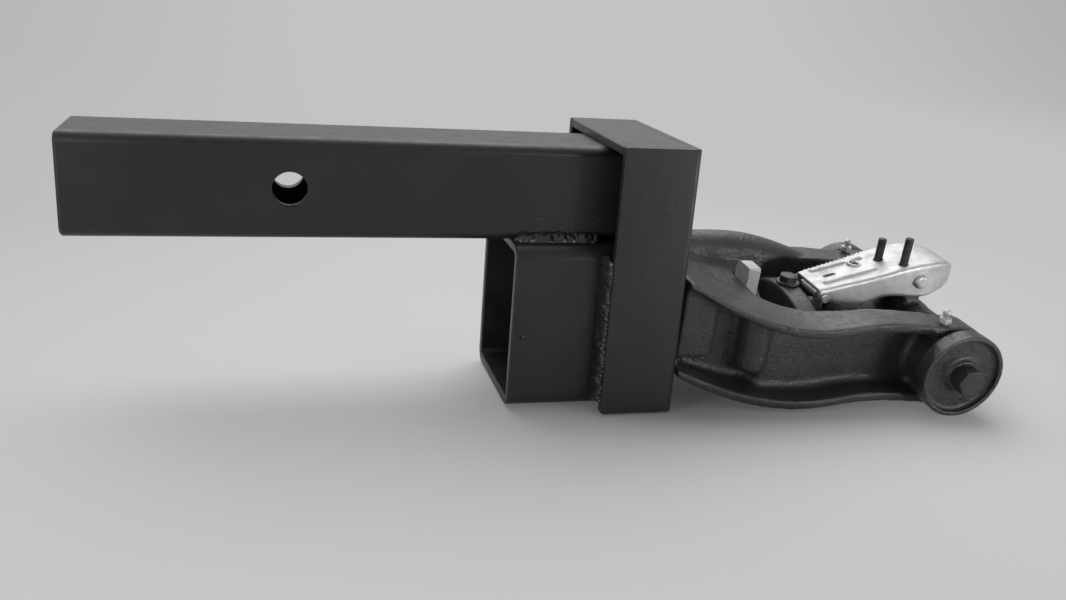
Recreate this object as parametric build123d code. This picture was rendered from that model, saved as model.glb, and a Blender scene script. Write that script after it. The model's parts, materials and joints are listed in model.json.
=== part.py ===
from build123d import *
from math import atan, degrees
import os

# Row frame, in millimetres: the origin is the centre of the hitch pin hole, +X runs along the
# shank towards the ball coupler, +Y is the pin hole's axis and +Z is up.

# Shank, a square drawbar for a 2 in receiver
shank_size = 50.8
shank_wall = 6.35
shank_corner = 5.0
shank_inner_corner = 1.35
shank_tail = 106.6            # pin hole centre to the free end
shank_chamfer = 1.2
pin_hole_diameter = 17.5

# Bracket channel, its cap and the lower receiver tube
pin_to_bracket = 163.8        # pin hole centre to the open edge of the channel
bracket_depth = 42.0
bracket_width = 101.6
bracket_plate = 4.8
bracket_bend = 3.0
bracket_corner = 2.5
cap_plate = 4.8
cap_plate_clearance = 0.15
cap_plate_chamfer = 0.8
tube_width = 76.2
tube_height = 91.4
tube_wall = 4.8
tube_corner = 8.0
tube_inner_corner = 3.2
tube_chamfer = 0.6
tube_reach = 49.6             # how far the tube stands out of the channel
pilot_hole_diameter = 3.0
pilot_hole_inset = 6.1
pilot_hole_drop = 50.3
weld_leg = 7.0
weld_crown = 0.84
weld_run_in = 6.0             # bare length before the upper beads
weld_run_out = 4.0            # bare length at the ends of the upright beads

# Clearances that the fits and seats share
running_clearance = 0.05
press_clearance = 0.02
seat_gap = 0.3

# Roll swivel between the bracket and the yoke
roll_drop = 65.4              # roll axis below the shank's axis
roll_rest = 6.0               # degrees that the yoke lies rolled, near side down
spindle_diameter = 31.75
spindle_embed = 20.0          # length of the spindle held in the yoke
spindle_end = 8.0             # bare end past the nut
spindle_chamfer = 2.0
bush_wall = 4.0
sleeve_wall = 5.0
sleeve_length = 24.0
sleeve_chamfer = 0.8
thrust_washer_diameter = 54.0
thrust_washer_thickness = 2.4
spindle_washer_diameter = 52.0
spindle_washer_thickness = 4.0
nut_flats = 46.0
nut_height = 18.0
nut_crown_height = 7.0
nut_crown_diameter = 40.5
nut_slots = 6
nut_slot_width = 4.8
nut_slot_depth = 6.0
split_pin_diameter = 4.0
split_pin_clearance = 0.2
split_pin_reach = 23.2
split_pin_eye = 3.2
split_pin_eye_wire = 1.6

# Yoke casting: x from the channel's web, z from the roll axis, y to both sides
root_half_width = 49.0
root_top = 29.5
root_bottom = -28.0
arm_half_width = 61.5
arm_thickness = 22.7
waist_top = 5.8               # lowest part of the arm's top edge
swell_top = 8.6               # the rise beside the boss
belly_bottom = -44.9
opening_depth = 109.0         # crotch of the arms to the pitch axis
crotch_flat = 15.0
inner_curve_length = 66.0     # from the crotch to where the arm runs straight
lip_top = 5.8
lip_bottom = 6.0
lip_root_share = 0.4          # how much of the lip is left at the root
lip_full_from = 0.4           # share of the arm's length where it has its full thickness
web_thickness = 5.7
pocket_inner = 33.0
pocket_end = 50.0
pocket_ramp = 6.0
post_radius = 9.0
post_place = 51.5
post_bottom = -28.5
post_proud = 4.0
post_round = 4.0
pad_length = 26.0
pad_bottom = -18.0
pad_proud = 11.0
pad_round = 6.0
root_bead_length = 17.0
root_bead_height = 3.0

# Round shoulder along the far arm
shoulder_radius = 13.0
shoulder_inset = 0.5
shoulder_skirt = 12.0
shoulder_high = 27.8          # crest just off the root
shoulder_waist = 22.4         # crest over the arm's waist
shoulder_end = 4.0            # crest where it has sunk into the arm

# Pitch axis through the bosses
pivot_reach = 169.0
pivot_drop = 19.4
boss_radius = 25.5
boss_length = 19.5
boss_stand = 2.5              # neck between the boss and its end cap
spot_face_margin = 2.5
neck_radius = 19.5
pivot_pin_diameter = 25.4
boss_bush_wall = 3.2
side_washer_thickness = 1.4
cap_radius = 25.6
cap_depth = 10.7
cap_round = 0.9
cap_rim = 3.0
cap_dish_depth = 3.6
cap_seat_radius = 9.5
cap_seat_height = 2.2
cap_bolt_diameter = 9.5
cap_bolt_flats = 14.6
cap_bolt_head = 9.0
cap_bolt_grip = 22.0
nipple_thread = 5.0
nipple_thread_length = 5.0
nipple_flats = 6.5
nipple_hex_height = 3.0
nipple_stem_diameter = 3.4
nipple_ball_diameter = 4.6
nipple_height = 8.5
nipple_back = 8.0             # behind the pitch axis
nipple_inset = 5.5            # in from the arm's outer face

# Coupler head: x and z from the pitch axis
ball_diameter = 50.8
socket_clearance = 0.25
socket_wall = 5.4
socket_drop = 11.6            # ball centre below the pitch axis
skirt_depth = 12.5
neck_half_width = 17.0
neck_top = 12.9
neck_floor = -24.1
neck_round = 6.0
collar_back = 85.0
collar_length = 14.0
collar_inset = 7.8            # collar's side inside the arms' straight inner faces
collar_top = 25.4
collar_shoulder = 17.7
collar_bottom = -26.6
collar_round = 8.0
collar_front_round = 3.0
collar_chamfer = 0.8
ear_radius = 20.0
ear_inner = 14.0
pin_depth = 11.2              # how far the pivot pins enter the ears
lug_half_width = 15.2
lug_radius = 5.5
lug_foot = 5.4
clamp_pocket_half_width = 10.0
clamp_pocket_back = 66.0
clamp_pocket_front = 10.0
clamp_pocket_top = 9.4
finger_slot_half_width = 4.0
finger_slot_clearance = 5.0
collar_bolt_inset = 7.0
collar_bolt_offset = 4.0
collar_bolt_diameter = 6.0
collar_bolt_length = 15.0
collar_bolt_flats = 10.0
collar_bolt_head = 4.6
collar_bolt_flange_diameter = 14.0
collar_bolt_flange = 1.6

# Latch lever, pressed from sheet: measured from its rivet
rivet_back = 2.0              # rivet behind the pitch axis
rivet_rise = 35.7             # rivet above the pitch axis
rivet_diameter = 5.6
rivet_head_diameter = 8.4
rivet_head_height = 2.4
rivet_head_round = 1.6
lever_sheet = 2.2
lever_bend = 2.4
lever_back = 64.5             # rivet to the tip
lever_front = 29.5            # rivet to the nose
lever_half_width = 18.5
lever_tip_half_width = 15.0
lever_taper_end = 17.0        # behind the rivet, where the lever reaches its full width
lever_nose_length = 26.0
lever_tip_top = -6.7
lever_crown = 11.9
lever_nose_top = 4.8
lever_nose_bottom = -3.8
lever_cheek = -10.7
lever_deep = -18.2
lever_tip_bottom = -14.3
lever_rib_offset = 9.0
lever_rib_radius = 1.7
lever_rib_length = 34.0
lever_rib_inset = 5.5
lever_slot_length = 8.0
lever_slot_width = 2.4
lever_slot_inset = 9.5
lever_hole_radius = 2.9
lever_hole_rim = 1.5
lever_hole_rise = 1.0
lever_hole_inset = 31.5
lever_hole_offset = 4.0
lever_dot_radius = 0.9
lever_dot_pitch = 3.2
lever_dot_count = 8
lever_dot_inset = 7.5
lever_dot_edge = 1.8
latch_pin_diameter = 5.0
latch_pin_below = 2.5
latch_pin_round = 0.8
rear_pin_back = 18.5
rear_pin_offset = 2.0
rear_pin_height = 13.5
front_pin_back = 10.0
front_pin_offset = -12.0
front_pin_height = 16.6
tip_pin_inset = 3.5
tip_pin_rise = 2.6
tip_pin_diameter = 3.0
tip_pin_head = 1.0
tip_pin_head_length = 1.5
roller_radius = 2.8
roller_half_length = 9.0

# Ball clamp and its hinge, behind the socket
clamp_pin_back = 45.0
clamp_pin_drop = 4.6
clamp_pin_diameter = 8.0
clamp_pin_chamfer = 0.8
clamp_side_gap = 0.4
clamp_ball_gap = 0.3
clamp_tail_back = 18.0
clamp_tail_rise = 8.5
clamp_tail_length = 10.0
clamp_jaw_reach = 26.0
clamp_jaw_drop = 19.0
clamp_round = 1.5
finger_back = 59.0
finger_thickness = 4.0
finger_half_width = 3.2
spring_wire = 1.4
spring_clearance = 0.5
spring_half_length = 4.2

# Stop bar in the crotch of the yoke
stop_thickness = 7.5
stop_width = 17.0
stop_offset = 5.5
stop_top = 18.5
stop_bottom = -30.0
stop_far_round = 5.0
stop_near_round = 1.5
stop_bolt_upper = -6.0
stop_bolt_lower = -21.0
stop_bolt_diameter = 8.0
stop_bolt_flats = 13.0
stop_bolt_head = 5.3
stop_bolt_length = 12.0

# Derived places
web_face = pin_to_bracket + bracket_depth
web_inner = web_face - bracket_plate
shank_half = shank_size / 2
bracket_half = bracket_width / 2
tube_half = tube_width / 2
tube_top = -shank_half
tube_start = pin_to_bracket - tube_reach
bracket_bottom = tube_top - tube_height
bracket_top = shank_half + cap_plate
roll_axis = (0, -roll_drop)
bush_outer = spindle_diameter / 2 + running_clearance + bush_wall
sleeve_inner = bush_outer + press_clearance
sleeve_outer = sleeve_inner + sleeve_wall
sleeve_start = web_face - sleeve_length
nut_seat = -sleeve_length - seat_gap - spindle_washer_thickness
nut_end = nut_seat - nut_height
split_pin_place = nut_end + nut_slot_depth - nut_slot_width / 2 - split_pin_diameter / 2
yoke_start = thrust_washer_thickness + 2 * seat_gap
arm_inner = arm_half_width - arm_thickness
crotch = pivot_reach - opening_depth
web_outer = arm_inner + web_thickness
pivot_z = -pivot_drop
pivot_axis = (pivot_reach, pivot_z)
boss_inner = arm_half_width - boss_length
boss_face = arm_half_width + boss_stand
ear_outer = boss_inner - side_washer_thickness - 2 * seat_gap
collar_half_width = arm_inner - collar_inset
boss_bush_inner = pivot_pin_diameter / 2 + running_clearance
boss_bush_outer = boss_bush_inner + boss_bush_wall
cap_start = boss_face + seat_gap
cap_end = cap_start + cap_depth
cap_seat = cap_end - cap_dish_depth + cap_seat_height
pin_seat = ear_outer - pin_depth
ball_z = -socket_drop
socket_radius = ball_diameter / 2 + socket_clearance
dome_radius = socket_radius + socket_wall
rivet_x = -rivet_back
rivet_z = rivet_rise
lever_tip = rivet_x - lever_back
lever_nose = rivet_x + lever_front
tip_pin_at = (lever_tip + tip_pin_inset, rivet_z + lever_tip_bottom + tip_pin_rise)
clamp_pin_at = (-clamp_pin_back, -clamp_pin_drop)
clamp_tail_top = clamp_tail_rise - clamp_pin_drop
collar_bolt_at = (-collar_back + collar_bolt_inset, collar_bolt_offset)
finger_start = -finger_back
latch_pin_spots = {
    "rear": (rivet_x - rear_pin_back, rear_pin_offset, rear_pin_height),
    "front": (rivet_x - front_pin_back, front_pin_offset, front_pin_height),
}
through = 300.0               # longer than any piece, for cuts that go right through

yoke_frame = Location((web_face, 0, -roll_drop), (roll_rest, 0, 0))
head_frame = yoke_frame * Location((pivot_reach, 0, pivot_z))


def save(name, pieces, place):
    """Write one node: its separate solids, moved to their place in the row frame."""
    solids = []
    for piece in pieces:
        solids.extend((place * piece).solids())
    export_step(Compound(children=solids), f"parts/{name}.step")


# Building blocks

def rod(radius, start, end, axis, at=(0, 0)):
    """A cylinder along x, y or z between two stations, its axis at the two other coordinates."""
    length = end - start
    middle = (start + end) / 2
    if axis == "x":
        return Pos(middle, at[0], at[1]) * Rot(0, 90, 0) * Cylinder(radius, length)
    if axis == "y":
        return Pos(at[0], middle, at[1]) * Rot(90, 0, 0) * Cylinder(radius, length)
    return Pos(at[0], at[1], middle) * Cylinder(radius, length)


def ring(outer, inner, start, end, axis, at=(0, 0)):
    return rod(outer, start, end, axis, at) - rod(inner, start - 1, end + 1, axis, at)


def block(x0, x1, y0, y1, z0, z1):
    return Pos((x0 + x1) / 2, (y0 + y1) / 2, (z0 + z1) / 2) * Box(x1 - x0, y1 - y0, z1 - z0)


def hexagon(flats, start, end, axis, at=(0, 0)):
    """A hexagonal bar along x, y or z with its corners turned off, as on a bolt head."""
    bar = Cylinder(flats * 0.56, end - start)
    bar &= extrude(RegularPolygon(flats / 2, 6, major_radius=False), (end - start) / 2, both=True)
    middle = (start + end) / 2
    if axis == "x":
        return Pos(middle, at[0], at[1]) * Rot(0, 90, 0) * bar
    if axis == "y":
        return Pos(at[0], middle, at[1]) * Rot(90, 0, 0) * bar
    return Pos(at[0], at[1], middle) * bar


def side_face(edges):
    return make_face(Plane.XZ * edges)


def side_shape(edges, half_width):
    """A closed outline in the XZ plane, made solid to both sides of y = 0."""
    return extrude(side_face(edges), half_width, both=True)


def plan_shape(edges, low=-through, high=through):
    return extrude(Pos(0, 0, low) * make_face(edges), high - low)


def both_sides(shape):
    return shape + mirror(shape, Plane.XZ)


def on_side(shape, side):
    return shape if side > 0 else mirror(shape, Plane.XZ)


# Bracket

def rectangular_tube(start, end, width, height, wall, corners, centre_z):
    """A tube along X with rounded outer and inner corners."""
    outside = RectangleRounded(width, height, corners[0])
    inside = RectangleRounded(width - 2 * wall, height - 2 * wall, corners[1])
    place = Plane(origin=(start, 0, centre_z), x_dir=(0, 1, 0), z_dir=(1, 0, 0))
    return extrude(place * (outside - inside), end - start)


def make_shank():
    tube = rectangular_tube(-shank_tail, web_inner, shank_size, shank_size, shank_wall,
                            (shank_corner, shank_inner_corner), 0)
    tube = chamfer(tube.edges().group_by(Axis.X)[0], shank_chamfer)
    return tube - rod(pin_hole_diameter / 2, -shank_size, shank_size, "y")


def make_receiver_tube():
    tube = rectangular_tube(tube_start, web_inner, tube_width, tube_height, tube_wall,
                            (tube_corner, tube_inner_corner), tube_top - tube_height / 2)
    tube = chamfer(tube.edges().group_by(Axis.X)[0], tube_chamfer)
    hole_at = (tube_start + pilot_hole_inset, tube_top - pilot_hole_drop)
    return tube - rod(pilot_hole_diameter / 2, -tube_width, 0, "y", hole_at)


def make_channel():
    """A channel open towards the shank, bent from plate, with the swivel's hole in its web."""
    outer = block(pin_to_bracket, web_face, -bracket_half, bracket_half, bracket_bottom, bracket_top)
    outer = fillet(outer.edges().filter_by(Axis.Z).group_by(Axis.X)[-1], bracket_bend)
    inner = block(pin_to_bracket - 1, web_inner, -bracket_half + bracket_plate,
                  bracket_half - bracket_plate, bracket_bottom - 1, bracket_top + 1)
    channel = outer - inner
    toes = channel.edges().filter_by(Axis.Y).group_by(Axis.X)[0].group_by(Axis.Z)[0]
    channel = fillet(toes, bracket_corner)
    return channel - rod(sleeve_outer + press_clearance, web_inner - 1, web_face + 1, "x", roll_axis)


def make_cap():
    half = bracket_half - bracket_plate - cap_plate_clearance
    cap = block(pin_to_bracket, web_inner, -half, half, shank_half, bracket_top)
    front_edge = cap.edges().filter_by(Axis.Y).group_by(Axis.Z)[-1].group_by(Axis.X)[0]
    return chamfer(front_edge, cap_plate_chamfer)


def bead(start, end, corner, legs, axis):
    """A convex fillet weld along X or Z in the corner of two faces; legs are signed."""
    a, b = legs
    crown = (a / 2 + weld_crown * a / abs(a), b / 2 + weld_crown * b / abs(b))
    outline = make_face(Polyline((0, b), (0, 0), (a, 0)) + ThreePointArc((a, 0), crown, (0, b)))
    if axis == "x":
        place = Plane(origin=(start, corner[0], corner[1]), x_dir=(0, 1, 0), z_dir=(1, 0, 0))
    else:
        place = Plane(origin=(corner[0], corner[1], start), x_dir=(1, 0, 0), z_dir=(0, 0, 1))
    return extrude(place * outline, end - start)


def make_shank_weld(side):
    return bead(tube_start + weld_run_in, pin_to_bracket - seat_gap, (side * shank_half, tube_top),
                (side * weld_leg, weld_leg), "x")


def make_tube_weld(side):
    """The upright bead between the channel's open edge and the tube's side."""
    reach = bracket_half - tube_half - bracket_plate / 4
    return bead(bracket_bottom + weld_run_out, tube_top - weld_run_out, (pin_to_bracket, side * tube_half),
                (-weld_leg, side * reach), "z")


# Roll swivel: the sleeve and bush in the row frame, the rest in the yoke's frame

def make_sleeve():
    sleeve = ring(sleeve_outer, sleeve_inner, sleeve_start, web_face, "x", roll_axis)
    return chamfer(sleeve.edges().filter_by(GeomType.CIRCLE).group_by(Axis.X)[0], sleeve_chamfer)


def make_roll_bush():
    return ring(bush_outer, bush_outer - bush_wall, sleeve_start, web_face, "x", roll_axis)


def make_thrust_washer():
    return ring(thrust_washer_diameter / 2, spindle_diameter / 2 + seat_gap, seat_gap,
                seat_gap + thrust_washer_thickness, "x")


def make_spindle():
    end = nut_end - spindle_end
    spindle = rod(spindle_diameter / 2, end, yoke_start + spindle_embed, "x")
    spindle = chamfer(spindle.edges().group_by(Axis.X)[0], spindle_chamfer)
    return spindle - rod(split_pin_diameter / 2 + split_pin_clearance, -spindle_diameter,
                         spindle_diameter, "z", (split_pin_place, 0))


def make_spindle_washer():
    return ring(spindle_washer_diameter / 2, spindle_diameter / 2 + seat_gap, nut_seat,
                nut_seat + spindle_washer_thickness, "x")


def make_spindle_nut():
    """A slotted nut: a hexagon with a round crown that the split pin lies in."""
    nut = hexagon(nut_flats, nut_end + nut_crown_height, nut_seat, "x")
    nut += rod(nut_crown_diameter / 2, nut_end, nut_end + nut_crown_height + 1, "x")
    nut -= rod(spindle_diameter / 2 + press_clearance, nut_end - 1, nut_seat + 1, "x")
    slot = block(nut_end - 1, nut_end + nut_slot_depth, -nut_slot_width / 2, nut_slot_width / 2,
                 -nut_flats, nut_flats)
    for turn in range(nut_slots // 2):
        nut -= Rot(turn * 360 / nut_slots, 0, 0) * slot
    return nut


def make_split_pin():
    pin = rod(split_pin_diameter / 2, -split_pin_reach, split_pin_reach, "z", (split_pin_place, 0))
    eye = Pos(split_pin_place, 0, split_pin_reach + split_pin_eye) * Rot(0, 90, 0)
    return pin + eye * Torus(split_pin_eye, split_pin_eye_wire)


# Yoke casting

def arm_x(part):
    """A station along the arm: 0 at the root, 1 at the pitch axis."""
    return yoke_start + part * (pivot_reach - yoke_start)


def arm_top(lip=0.0, first_x=yoke_start):
    """The arm's top edge from the side, or the line that runs a lip's thickness under it."""
    line = [(part, waist_top + share * (root_top - waist_top))
            for part, share in ((0.0, 1.0), (0.10, 0.62), (0.18, 0.38), (0.27, 0.194), (0.45, 0.0))]
    line += [(part, waist_top + share * (swell_top - waist_top))
             for part, share in ((0.565, 0.3), (0.68, 1.0), (0.83, 0.55))]
    line.append((1.0, pivot_z + boss_radius))
    points = []
    for part, height in line:
        share = min(1.0, lip_root_share + part / lip_full_from * (1 - lip_root_share))
        points.append((arm_x(part) if part else first_x, height - lip * share))
    return Spline(*points)


def arm_bottom(lip=0.0, first_x=yoke_start):
    line = [(part, root_bottom + share * (belly_bottom - root_bottom))
            for part, share in ((0.0, 0.0), (0.115, 0.50), (0.215, 0.78), (0.32, 0.93), (0.43, 1.0),
                                (0.54, 0.95), (0.66, 0.82), (0.83, 0.86))]
    line.append((1.0, pivot_z - boss_radius))
    return Spline(*[(arm_x(part) if part else first_x, height + lip) for part, height in line])


def elevation(top, bottom):
    """The closed side outline between a top and a bottom edge."""
    return Curve() + top + bottom + Line(top @ 0, bottom @ 0) + Line(top @ 1, bottom @ 1)


def outer_edge():
    grow = arm_half_width - root_half_width
    points = [(arm_x(part), root_half_width + share * grow)
              for part, share in ((0.0, 0.0), (0.20, 0.48), (0.32, 0.84), (0.465, 1.0), (0.70, 0.94),
                                  (1.0, 1.0))]
    return Spline(*points)


def inner_edge():
    grow = arm_inner - crotch_flat
    points = [(crotch + part * inner_curve_length, crotch_flat + share * grow)
              for part, share in ((0.0, 0.0), (0.13, 0.46), (0.365, 0.765), (0.67, 0.95), (1.0, 1.0))]
    return Spline(*points, tangents=[(0.25, 1), (1, 0.02)])


def arm_plan():
    """Half of the yoke seen from above: one arm and half of the root."""
    outer = outer_edge()
    inner = inner_edge()
    tip = Polyline(outer @ 1, (pivot_reach, arm_inner), inner @ 1)
    root = Polyline(inner @ 0, (crotch, 0), (yoke_start, 0), outer @ 0)
    return outer + tip + inner + root


def pivot_rod(radius, start, end):
    return rod(radius, start, end, "y", pivot_axis)


def make_shoulder():
    """The far arm's shoulder: a round-backed roll that leaves the root high and sinks into the arm."""
    drop = shoulder_waist - shoulder_end
    line = [(0.0, root_top, 0.0), (0.10, shoulder_high, 0.24),
            (0.25, (shoulder_high + shoulder_waist) / 2, 0.63), (0.44, shoulder_waist, 0.98),
            (0.56, shoulder_end + 0.77 * drop, 1.0), (0.66, shoulder_end + 0.48 * drop, 1.0),
            (0.80, shoulder_end, 1.0)]
    grow = arm_half_width - root_half_width
    inset = shoulder_radius + shoulder_inset
    width = 2 * shoulder_radius
    arch = Circle(shoulder_radius) + Pos(0, -shoulder_skirt / 2) * Rectangle(width, shoulder_skirt)
    sections = []
    for part, crest, share in line:
        centre = (arm_x(part), root_half_width + share * grow - inset, crest - shoulder_radius)
        sections.append(Plane(origin=centre, x_dir=(0, 1, 0), z_dir=(1, 0, 0)) * arch)
    return loft(sections) & plan_shape(arm_plan())


def make_recess():
    """What the arm's outer face lacks between its two lips: a pocket at the root and a flat web."""
    window = side_shape(elevation(arm_top(lip_top, 0), arm_bottom(lip_bottom, 0)), through)
    depth = Polyline((0, pocket_inner), (pocket_end, pocket_inner), (pocket_end + pocket_ramp, web_outer),
                     (pivot_reach, web_outer), (pivot_reach, through), (0, through), (0, pocket_inner))
    recess = plan_shape(depth) & window
    recess -= pivot_rod(neck_radius, 0, through)
    post = rod(post_radius, post_bottom, through, "z", (post_place, web_outer + post_proud - post_radius))
    post = fillet(post.edges().filter_by(GeomType.CIRCLE).group_by(Axis.Z)[0], post_round)
    pad = block(0, pad_length, 0, pocket_inner + pad_proud, pad_bottom, through)
    pad = fillet(pad.edges().filter_by(Axis.Z).group_by(Axis.X)[-1].group_by(Axis.Y)[-1], pad_round)
    return recess - post - pad


def make_yoke():
    yoke = both_sides(plan_shape(arm_plan()))
    yoke &= side_shape(elevation(arm_top(), arm_bottom()), through)
    yoke += make_shoulder()
    yoke += both_sides(pivot_rod(boss_radius, boss_inner, arm_half_width))
    yoke -= both_sides(make_recess())
    yoke += both_sides(pivot_rod(neck_radius, arm_half_width - 1, boss_face))
    yoke -= both_sides(pivot_rod(boss_radius + spot_face_margin, 0, boss_inner))
    yoke -= pivot_rod(boss_bush_outer + press_clearance, -through, through)
    yoke -= rod(spindle_diameter / 2 + press_clearance, 0, yoke_start + spindle_embed, "x")
    for z in (stop_bolt_upper, stop_bolt_lower):
        yoke -= rod(stop_bolt_diameter / 2 + press_clearance, crotch - stop_bolt_length - seat_gap,
                    crotch + 1, "x", (stop_offset, z))
    for side in (-1, 1):
        yoke -= rod(nipple_thread / 2 + press_clearance, nipple_base() - nipple_thread_length - seat_gap,
                    through, "z", nipple_at(side))
    return yoke


def nipple_at(side):
    return (pivot_reach - nipple_back, side * (arm_half_width - nipple_inset))


def nipple_base():
    """Height of the arm's top where the nipple stands."""
    low = pivot_z + boss_radius
    part = (pivot_reach - nipple_back - arm_x(0.83)) / (pivot_reach - arm_x(0.83))
    height = waist_top + 0.55 * (swell_top - waist_top)
    return height + part * (low - height) + seat_gap


def make_boss_bush(side):
    bush = ring(boss_bush_outer, boss_bush_inner, boss_inner + seat_gap, boss_face - seat_gap, "y",
                pivot_axis)
    return on_side(bush, side)


def make_nipple(side):
    """A grease nipple: threaded stem, hexagon, waist and ball end."""
    at = nipple_at(side)
    base = nipple_base()
    top = base + nipple_height - nipple_ball_diameter / 2
    nipple = rod(nipple_thread / 2, base - nipple_thread_length, base + 1, "z", at)
    nipple += hexagon(nipple_flats, base + seat_gap, base + seat_gap + nipple_hex_height, "z", at)
    nipple += rod(nipple_stem_diameter / 2, base + 1, top, "z", at)
    return nipple + Pos(at[0], at[1], top) * Sphere(nipple_ball_diameter / 2)


def make_stop_bar():
    low = stop_offset - stop_width / 2
    high = stop_offset + stop_width / 2
    bar = block(crotch, crotch + stop_thickness, low, high, stop_bottom, stop_top)
    bar = fillet(bar.edges().filter_by(Axis.X).group_by(Axis.Z)[-1].sort_by(Axis.Y)[-1], stop_far_round)
    bar = fillet(bar.edges().filter_by(Axis.X).group_by(Axis.Z)[-1].sort_by(Axis.Y)[0], stop_near_round)
    for z in (stop_bolt_upper, stop_bolt_lower):
        bar -= rod(stop_bolt_diameter / 2 + seat_gap, crotch - 1, crotch + stop_thickness + 1, "x",
                   (stop_offset, z))
    return bar


def make_stop_bolt(z):
    face = crotch + stop_thickness
    bolt = rod(stop_bolt_diameter / 2, crotch - stop_bolt_length, face + 1, "x", (stop_offset, z))
    return bolt + hexagon(stop_bolt_flats, face, face + stop_bolt_head, "x", (stop_offset, z))


def make_root_weld(side):
    """The bead under the pad at each arm's root, in the corner between the pad and the pocket."""
    return bead(yoke_start + 1, yoke_start + 1 + root_bead_length, (side * pocket_inner, pad_bottom),
                (side * pad_proud, -root_bead_height), "x")


# Coupler head, in its own frame

def make_collar():
    """The arched collar behind the neck."""
    crown = ThreePointArc((-collar_half_width, collar_shoulder), (0, collar_top),
                          (collar_half_width, collar_shoulder))
    walls = Polyline(crown @ 1, (collar_half_width, collar_bottom), (-collar_half_width, collar_bottom),
                     crown @ 0)
    place = Plane(origin=(-collar_back, 0, 0), x_dir=(0, 1, 0), z_dir=(1, 0, 0))
    collar = extrude(place * make_face(crown + walls), collar_length)
    collar = fillet(collar.edges().filter_by(Axis.X), collar_round)
    collar = fillet(collar.edges().group_by(Axis.X)[-1], collar_front_round)
    return chamfer(collar.edges().group_by(Axis.X)[0], collar_chamfer)


def make_head():
    head = Pos(0, 0, ball_z) * Sphere(dome_radius)
    head += rod(dome_radius, ball_z - skirt_depth, ball_z, "z")
    head -= block(-through, through, -through, through, -through, ball_z - skirt_depth)
    section = RectangleRounded(2 * neck_half_width, neck_top - neck_floor, neck_round)
    place = Plane(origin=(1 - collar_back, 0, (neck_top + neck_floor) / 2), x_dir=(0, 1, 0), z_dir=(1, 0, 0))
    head += extrude(place * section, collar_back - 1)
    head += make_collar()
    head += both_sides(rod(ear_radius, ear_inner, ear_outer, "y"))
    head += rod(lug_radius, -lug_half_width, lug_half_width, "y", (rivet_x, rivet_z))
    head += block(rivet_x - lug_radius, rivet_x + lug_radius, -lug_half_width, lug_half_width,
                  lug_foot, rivet_z)

    head -= Pos(0, 0, ball_z) * Sphere(socket_radius)
    head -= rod(socket_radius, -through, ball_z, "z")
    head -= block(-clamp_pocket_back, -clamp_pocket_front, -clamp_pocket_half_width,
                  clamp_pocket_half_width, -through, clamp_pocket_top)
    head -= block(-clamp_pocket_back - 1, finger_start + finger_thickness + finger_slot_clearance / 2,
                  -finger_slot_half_width, finger_slot_half_width, clamp_pocket_top - 1, neck_top + 1)
    head -= both_sides(rod(pivot_pin_diameter / 2 + press_clearance, pin_seat, through, "y"))
    head -= rod(rivet_diameter / 2 + running_clearance, -through, through, "y", (rivet_x, rivet_z))
    head -= rod(clamp_pin_diameter / 2 + press_clearance, -through, through, "y", clamp_pin_at)
    head -= rod(collar_bolt_diameter / 2 + press_clearance, collar_top - collar_bolt_length - seat_gap,
                through, "z", collar_bolt_at)
    return head


def make_pivot_pin(side):
    pin = rod(pivot_pin_diameter / 2, pin_seat + seat_gap, cap_start, "y")
    pin -= rod(cap_bolt_diameter / 2 + press_clearance, cap_seat - cap_bolt_grip - 1, cap_start + 1, "y")
    return on_side(pin, side)


def make_side_washer(side):
    start = ear_outer + seat_gap
    washer = ring(ear_radius, pivot_pin_diameter / 2 + seat_gap, start, start + side_washer_thickness, "y")
    return on_side(washer, side)


def make_end_cap(side):
    """A dished cap that holds the boss on its pin, with a rim and a raised seat for the bolt."""
    cap = rod(cap_radius, cap_start, cap_end, "y")
    cap -= rod(cap_radius - cap_rim, cap_end - cap_dish_depth, cap_end + 1, "y")
    cap = fillet(cap.edges().filter_by(GeomType.CIRCLE), cap_round)
    cap += rod(cap_seat_radius, cap_seat - cap_seat_height - 1, cap_seat, "y")
    cap -= rod(cap_bolt_diameter / 2 + seat_gap, cap_start - 1, cap_end + 1, "y")
    return on_side(cap, side)


def make_cap_bolt(side):
    bolt = rod(cap_bolt_diameter / 2, cap_seat - cap_bolt_grip, cap_seat + 1, "y")
    return on_side(bolt + hexagon(cap_bolt_flats, cap_seat, cap_seat + cap_bolt_head, "y"), side)


def make_collar_bolt():
    bolt = rod(collar_bolt_diameter / 2, collar_top - collar_bolt_length, collar_top + 1, "z",
               collar_bolt_at)
    bolt += rod(collar_bolt_flange_diameter / 2, collar_top, collar_top + collar_bolt_flange, "z",
                collar_bolt_at)
    return bolt + hexagon(collar_bolt_flats, collar_top + 1, collar_top + 1 + collar_bolt_head, "z",
                          collar_bolt_at)


# Ball clamp

def make_clamp_pin():
    pin = rod(clamp_pin_diameter / 2, -neck_half_width, neck_half_width, "y", clamp_pin_at)
    return chamfer(pin.edges().filter_by(GeomType.CIRCLE), clamp_pin_chamfer)


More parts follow.
